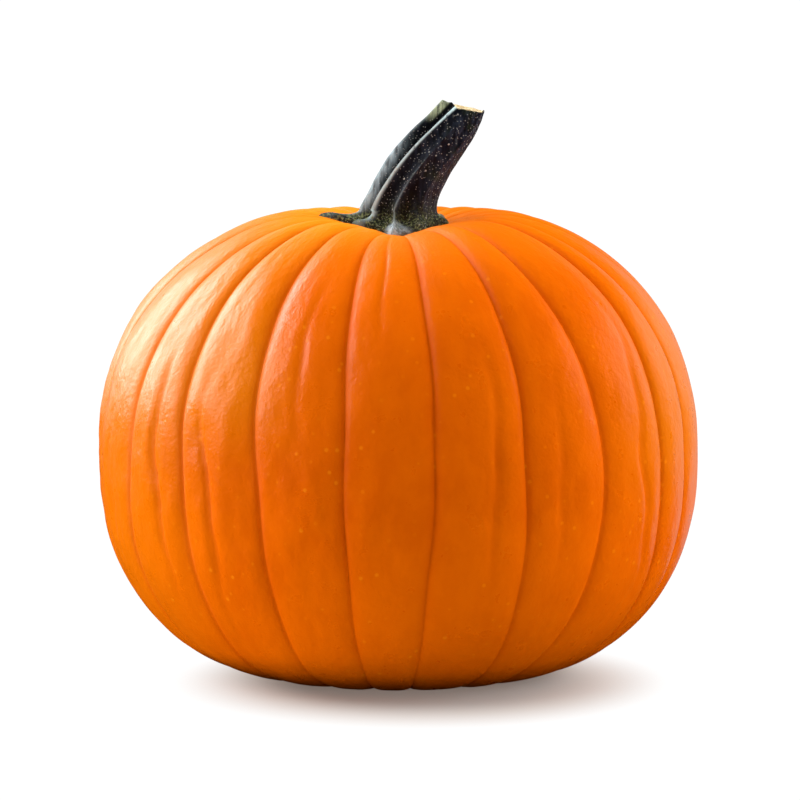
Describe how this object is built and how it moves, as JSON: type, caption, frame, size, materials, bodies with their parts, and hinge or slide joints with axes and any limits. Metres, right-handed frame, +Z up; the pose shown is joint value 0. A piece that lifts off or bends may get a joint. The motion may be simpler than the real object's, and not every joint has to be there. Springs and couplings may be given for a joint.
{
  "type": "pumpkin",
  "caption": "Round, slightly squat ribbed pumpkin with a flattened underside and a curved, ridged stem cut off at the top.",
  "frame": {"origin": "on the surface that the pumpkin stands on, under the middle of the fruit", "axes": "+Z up through the crown, +X the way the stem leans, -Y the front"},
  "size_m": [0.2596, 0.2599, 0.2433],
  "materials": {
    "rind": "satin",
    "stem": "matte"
  },
  "bodies": {
    "root": {"fruit": "rind", "stem": "stem"}
  },
  "joints": []
}
